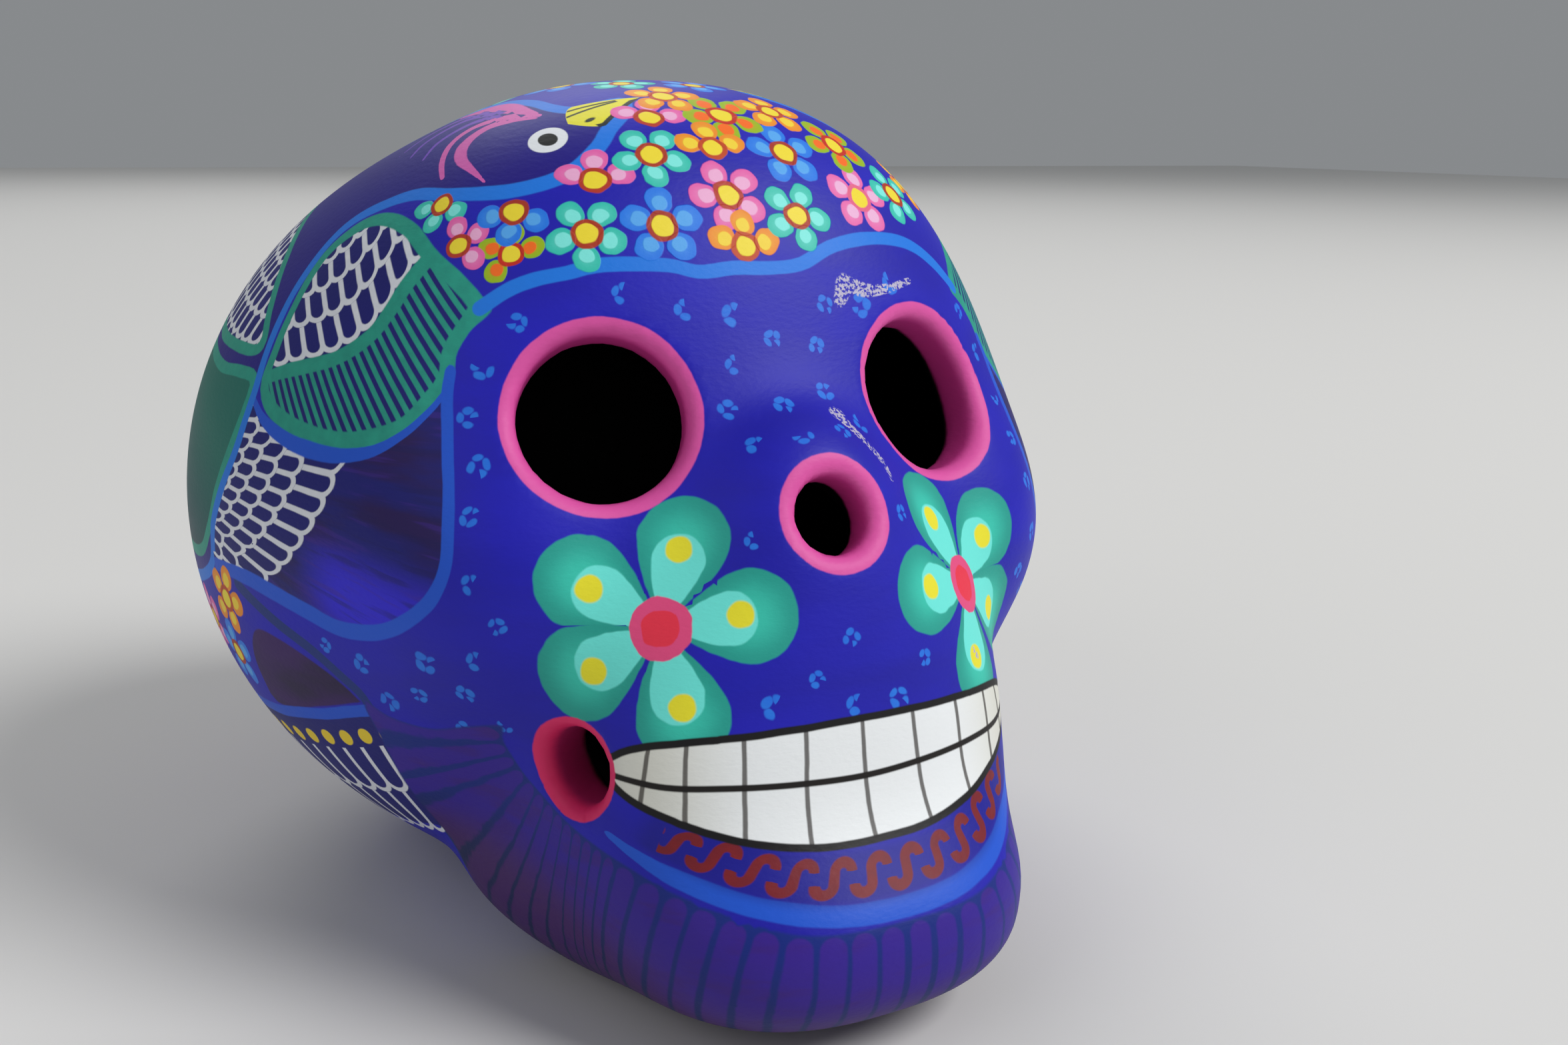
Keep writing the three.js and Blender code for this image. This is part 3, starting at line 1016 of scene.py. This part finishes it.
# The outer petal is painted darker towards its edges, where it curves away: painted shade.
outer_petal_painted_shade = over(srgb(38, 160, 146), inside(outer_petal, -2.6, 2.4), srgb(58, 200, 178))
colour = over(colour, inside(outer_petal, 0, 0.16), outer_petal_painted_shade)
colour = over(colour, inside(teardrop(8.9, 3.5, 0.5), 0, 0.16), srgb(112, 234, 222))
colour = over(colour, inside(length(along - 10.3, across - 0.3), 1.75, 0.2), srgb(238, 228, 48))
colour = over(colour, inside(reach + dab_shift_a, 4.1), srgb(232, 78, 132))
colour = over(colour, inside(length(along + dab_shift_a, across), 2.5), srgb(238, 52, 76))

# The mouth and the jaw
# A grin of square white teeth is outlined in black over a row of dark red scrolls, and long violet
# petals fan down from the chin line and the cheek holes to the foot of the jaw.


def whole_width(right_pairs):
    """A line on the right side, carried on over the middle to the left side."""
    left = [(-turn, rise) for turn, rise in reversed(right_pairs) if turn < 0]
    return right_pairs + left


MOUTH_TOP = whole_width([(-33.5, -11.3), (-32, -9.5), (-28.5, -7.8), (-22, -6.6), (-12, -5.8), (0, -5.5)])
MOUTH_MIDDLE = whole_width([(-33.5, -11.8), (-26, -12), (-18, -11.8), (-9, -12), (0, -12.3)])
MOUTH_BOTTOM = whole_width([(-33.5, -12), (-31, -13.6), (-26, -15.2), (-17, -17), (-8, -17.9), (0, -18.1)])
MOUTH = MOUTH_TOP + MOUTH_BOTTOM[::-1][1:-1]
SCROLL = whole_width([(-31.5, -15.8), (-27, -17.2), (-21, -18.3), (-11, -19.6), (0, -19.9)])
PETAL_RING = whole_width([(-50, -9.5), (-50.5, -12), (-49.5, -15), (-47.5, -18), (-44, -20),
                          (-40, -21), (-35, -21.3), (-30, -21.6), (-24, -22), (-12, -22.4), (0, -22.5)])
RING_TURN = 40
JAW_FIELD = [(-74, -9), (-70, -11), (-63, -12), (-56, -10.5), *PETAL_RING,
             (56, -10.5), (63, -12), (70, -11), (74, -9), (74, -16), (75, -26),
             (74, -34), (69, -40), (60, -50), (30, -62), (0, -66), (-30, -62), (-60, -50), (-69, -40),
             (-74, -34), (-75, -26), (-74, -16)]


def whole_patch(pairs):
    line = smooth_line(pairs, closed=True)
    gap = np.abs(line_places(places, outward, line)[0])
    return np.where(within(line, places), -gap, gap)


def centred(pairs):
    """The distance from a line that crosses the middle of the face, and how far left of it."""
    line = smooth_line(pairs)
    offset, along = line_places(places, outward, line)
    run = np.linalg.norm(np.diff(line, axis=0), axis=1).sum()
    return offset, along - run / 2


teeth_offset, teeth_along = centred(MOUTH_MIDDLE)
scroll_offset, scroll_along = centred(SCROLL)
ring_offset, ring_along = centred(PETAL_RING)
ring_count = np.minimum(np.abs(ring_along), RING_TURN) / 4.0
ring_count += np.maximum(np.abs(ring_along) - RING_TURN, 0) / 2.0
swell = np.interp(np.abs(scroll_along), [0, 22, 34], [1.0, 0.9, 0.55])
keep("mouth", [whole_patch(MOUTH), teeth_offset, teeth_along])
keep("scroll", [scroll_offset / swell, scroll_along, whole_patch(JAW_FIELD)])
keep("jaw", [ring_count * np.sign(ring_along), -ring_offset, all_rise])

petal, out, rise_up = stored("jaw")
scroll_off, scroll_run, jaw = stored("scroll")
petal = petal + wobble * 0.12
slice_side = abs((petal + 100).fraction() - 0.5) * 3.9
petal_half = 1.6 + (clouds(0.06, 2, (1, 1, 0.3)) - 0.5) * 1.2
petal_gap = length(slice_side, (out - 1.9).least(0)) - petal_half
# The blue between the jaw's petals is painted darker towards the foot of the jaw: painted shade.
gap_paint = over(srgb(14, 40, 130), inside(rise_up, -30, 8), srgb(20, 34, 84))
colour = over(colour, inside(jaw, 0, 0.3), gap_paint)
# The violet petals are painted darker and browner towards the foot of the jaw: painted shade.
low = inside(rise_up, -31, 5)
violet = over(srgb(62, 30, 136), passes, srgb(46, 30, 160))
violet = over(violet, low * 0.85, srgb(74, 38, 92))
violet = over(violet, inside(1 - streaks, 0.42, 0.1) * 0.4, srgb(64, 30, 110))
colour = over(colour, inside(jaw, -0.2, 0.3) * inside(petal_gap, 0, 0.22), violet)

mouth, tooth_off, tooth_run = stored("mouth")
under_mouth = inside(abs(scroll_off), 3.6, 1.2) * inside(abs(scroll_run), 33, 2)
colour = over(colour, under_mouth * 0.55, srgb(20, 22, 120))
SCROLL_PERIOD = 5.2
SCROLL_RADIUS = 1.2


def scroll_gap(shift):
    """Distance from one scroll in each two periods: a hook below, a stem, an arch above."""
    part = ((scroll_run + 200 + shift) / (2 * SCROLL_PERIOD)).fraction() * (2 * SCROLL_PERIOD)
    part = part - SCROLL_PERIOD + scroll_off * -0.25
    hook = abs(length(part + SCROLL_RADIUS, (scroll_off + 0.9).least(0)) - SCROLL_RADIUS)
    arch = abs(length(part - SCROLL_RADIUS, (scroll_off - 0.9).most(0)) - SCROLL_RADIUS)
    hook = hook + (scroll_off + 0.9).most(0) * 9
    arch = arch + (0.9 - scroll_off).most(0) * 9
    stem = abs(part) + (abs(scroll_off) - 0.9).most(0) * 9
    return hook.least(arch).least(stem)


scrolls = scroll_gap(0).least(scroll_gap(SCROLL_PERIOD))
scroll_mask = inside(scrolls, 0.74 + wobble * 0.3, 0.16) * inside(abs(scroll_run), 30.3)
colour = over(colour, scroll_mask, over(srgb(136, 32, 34), shimmer, srgb(110, 26, 42)))

enamel = over(srgb(240, 243, 244), inside(22 - abs(tooth_run), 0, 8) * 0.7, srgb(214, 212, 196))
colour = over(colour, inside(mouth, 0), enamel)
tooth_line = abs(tooth_run + wobble * 0.5)
for place in (8.4, 16.6, 24.0, 29.5):
    tooth_line = tooth_line.least(abs(abs(tooth_run + wobble * 0.5) - place))
colour = over(colour, inside(mouth, 0) * inside(tooth_line, 0.32, 0.14) * 0.85, srgb(54, 46, 40))
colour = over(colour, inside(abs(tooth_off), 0.42, 0.14) * inside(mouth, 0), srgb(24, 20, 18))
colour = over(colour, inside(abs(mouth + wobble * 0.3), 0.5, 0.14), srgb(18, 16, 18))

# The wear
# The paint is rubbed through to the pale clay over one eye and down one side of the nose ridge.

brushed("chips", [
    ([(8, 36.3), (9, 34), (10.8, 31), (13.2, 27.6), (13.4, 25)], [1.3, 0.9, 0.8, 0.8, 0.5], 0, False, ""),
    ([(19, 52.6), (22, 54.4)], [1.0, 1.5], 0, False, ""),
    ([(22, 54.4), (28, 52.6), (35, 51.6), (42, 51)], [1.4, 0.9, 0.6, 0.5], 0, False, ""),
    ([(23, -1.7), (23.6, -2.8)], [0.45, 0.45], 0, False, ""),
])
rubbed, _ = line_mask("chips")
specks = inside(1 - clouds(2.1, 5), 0.5, 0.05)
colour = over(colour, rubbed * specks, over(srgb(206, 196, 212), shimmer, srgb(170, 170, 200)))

# The rims of the holes
# Each hole is edged in pink, which runs in over the thickness of the clay and is painted darker down
# the bore as painted shade. Inside it is painted black, as painted shade of the hollow.

rim, depth, cheek_mark = stored("rims")
in_cheek = inside(1 - cheek_mark, 0.5, 0.1)
rim_pink = over(srgb(226, 88, 168), in_cheek, srgb(226, 44, 104))
# Down the bore the pink turns to a darker copy of itself: painted shade.
bore_pink_painted_shade = over(srgb(196, 58, 140), in_cheek, srgb(170, 36, 96))
rim_pink = over(rim_pink, 1 - inside(depth, 1.6, 0.8), bore_pink_painted_shade)
colour = over(colour, inside(rim + wobble * 0.7, 0, 0.14), rim_pink)
# Past the wall's thickness the hollow is painted near-black: painted shade.
colour = over(colour, 1 - inside(depth, 5.6, 0.4), srgb(16, 14, 14))

raised = flower_height * 0.5 + clouds(0.9, 3, (1, 1, 2)) * 0.45
bump = Shade.node("ShaderNodeBump", None, {"Strength": 0.5, "Distance": 0.2 * MM, "Height": raised})
roughness = 0.44 + passes * 0.16
shader.inputs["Specular IOR Level"].default_value = 0.3
for value, name in [(colour, "Base Color"), (roughness, "Roughness"), (bump, "Normal")]:
    Shade.tree.links.new(value.socket, shader.inputs[name])

# The studio
# A pale floor that the skull stands on, and soft white lamps round it.

floor_mesh = bpy.data.meshes.new("studio_floor")
FLOOR_REACH = 4.0
corners = [(-1, -1), (1, -1), (1, 1), (-1, 1)]
floor_mesh.from_pydata([(x * FLOOR_REACH, y * FLOOR_REACH, 0) for x, y in corners], [], [(0, 1, 2, 3)])
floor = bpy.data.objects.new("studio_floor", floor_mesh)
bpy.context.collection.objects.link(floor)
pale = bpy.data.materials.new("pale_floor")
pale.use_nodes = True
pale.node_tree.nodes["Principled BSDF"].inputs["Base Color"].default_value = (0.72, 0.71, 0.69, 1)
pale.node_tree.nodes["Principled BSDF"].inputs["Roughness"].default_value = 0.8
floor_mesh.materials.append(pale)


def soft_lamp(name, place, aim, width, power):
    lamp = bpy.data.lights.new(name, "AREA")
    lamp.shape = "DISK"
    lamp.size = width
    lamp.energy = power
    holder = bpy.data.objects.new(name, lamp)
    holder.location = place
    holder.rotation_euler = (Vector(aim) - Vector(place)).to_track_quat("-Z", "Y").to_euler()
    bpy.context.collection.objects.link(holder)


soft_lamp("key_lamp", (1.5, -1.6, 2.1), (0, 0, 0.06), 1.5, 64)
soft_lamp("left_lamp", (-2.2, -0.5, 1.5), (0, 0, 0.06), 2, 8)
soft_lamp("back_lamp", (0.5, 2.2, 2.2), (0, 0, 0.06), 2, 24)

world = bpy.data.worlds.new("soft_room")
bpy.context.scene.world = world
world.use_nodes = True
world.node_tree.nodes["Background"].inputs["Color"].default_value = (0.74, 0.77, 0.8, 1)
world.node_tree.nodes["Background"].inputs["Strength"].default_value = 0.33
bpy.context.scene.view_settings.view_transform = "Standard"

# The camera
# It stands where the photograph was taken from, a little above the face and to its right.

PHOTO_WIDTH = 2352
FOCAL_PIXELS = 2400
CAMERA_AT = (-102.3, -233.6, 118.0)
CAMERA_DOWN = 13.95
CAMERA_TURN = -28.9
CAMERA_ROLL = 0.69

lens = bpy.data.cameras.new("photo_camera")
lens.sensor_fit = "HORIZONTAL"
lens.sensor_width = 36
lens.lens = 36 * FOCAL_PIXELS / PHOTO_WIDTH
lens.clip_start = 0.01
camera = bpy.data.objects.new("photo_camera", lens)
camera.location = [value * MM for value in CAMERA_AT]
turn = math.radians(CAMERA_TURN)
down = math.radians(CAMERA_DOWN)
forward = Vector((-math.sin(turn) * math.cos(down), math.cos(turn) * math.cos(down), -math.sin(down)))
aim = forward.to_track_quat("-Z", "Y")
camera.rotation_mode = "QUATERNION"
camera.rotation_quaternion = aim @ Quaternion((0, 0, 1), math.radians(CAMERA_ROLL))
bpy.context.collection.objects.link(camera)
bpy.context.scene.camera = camera
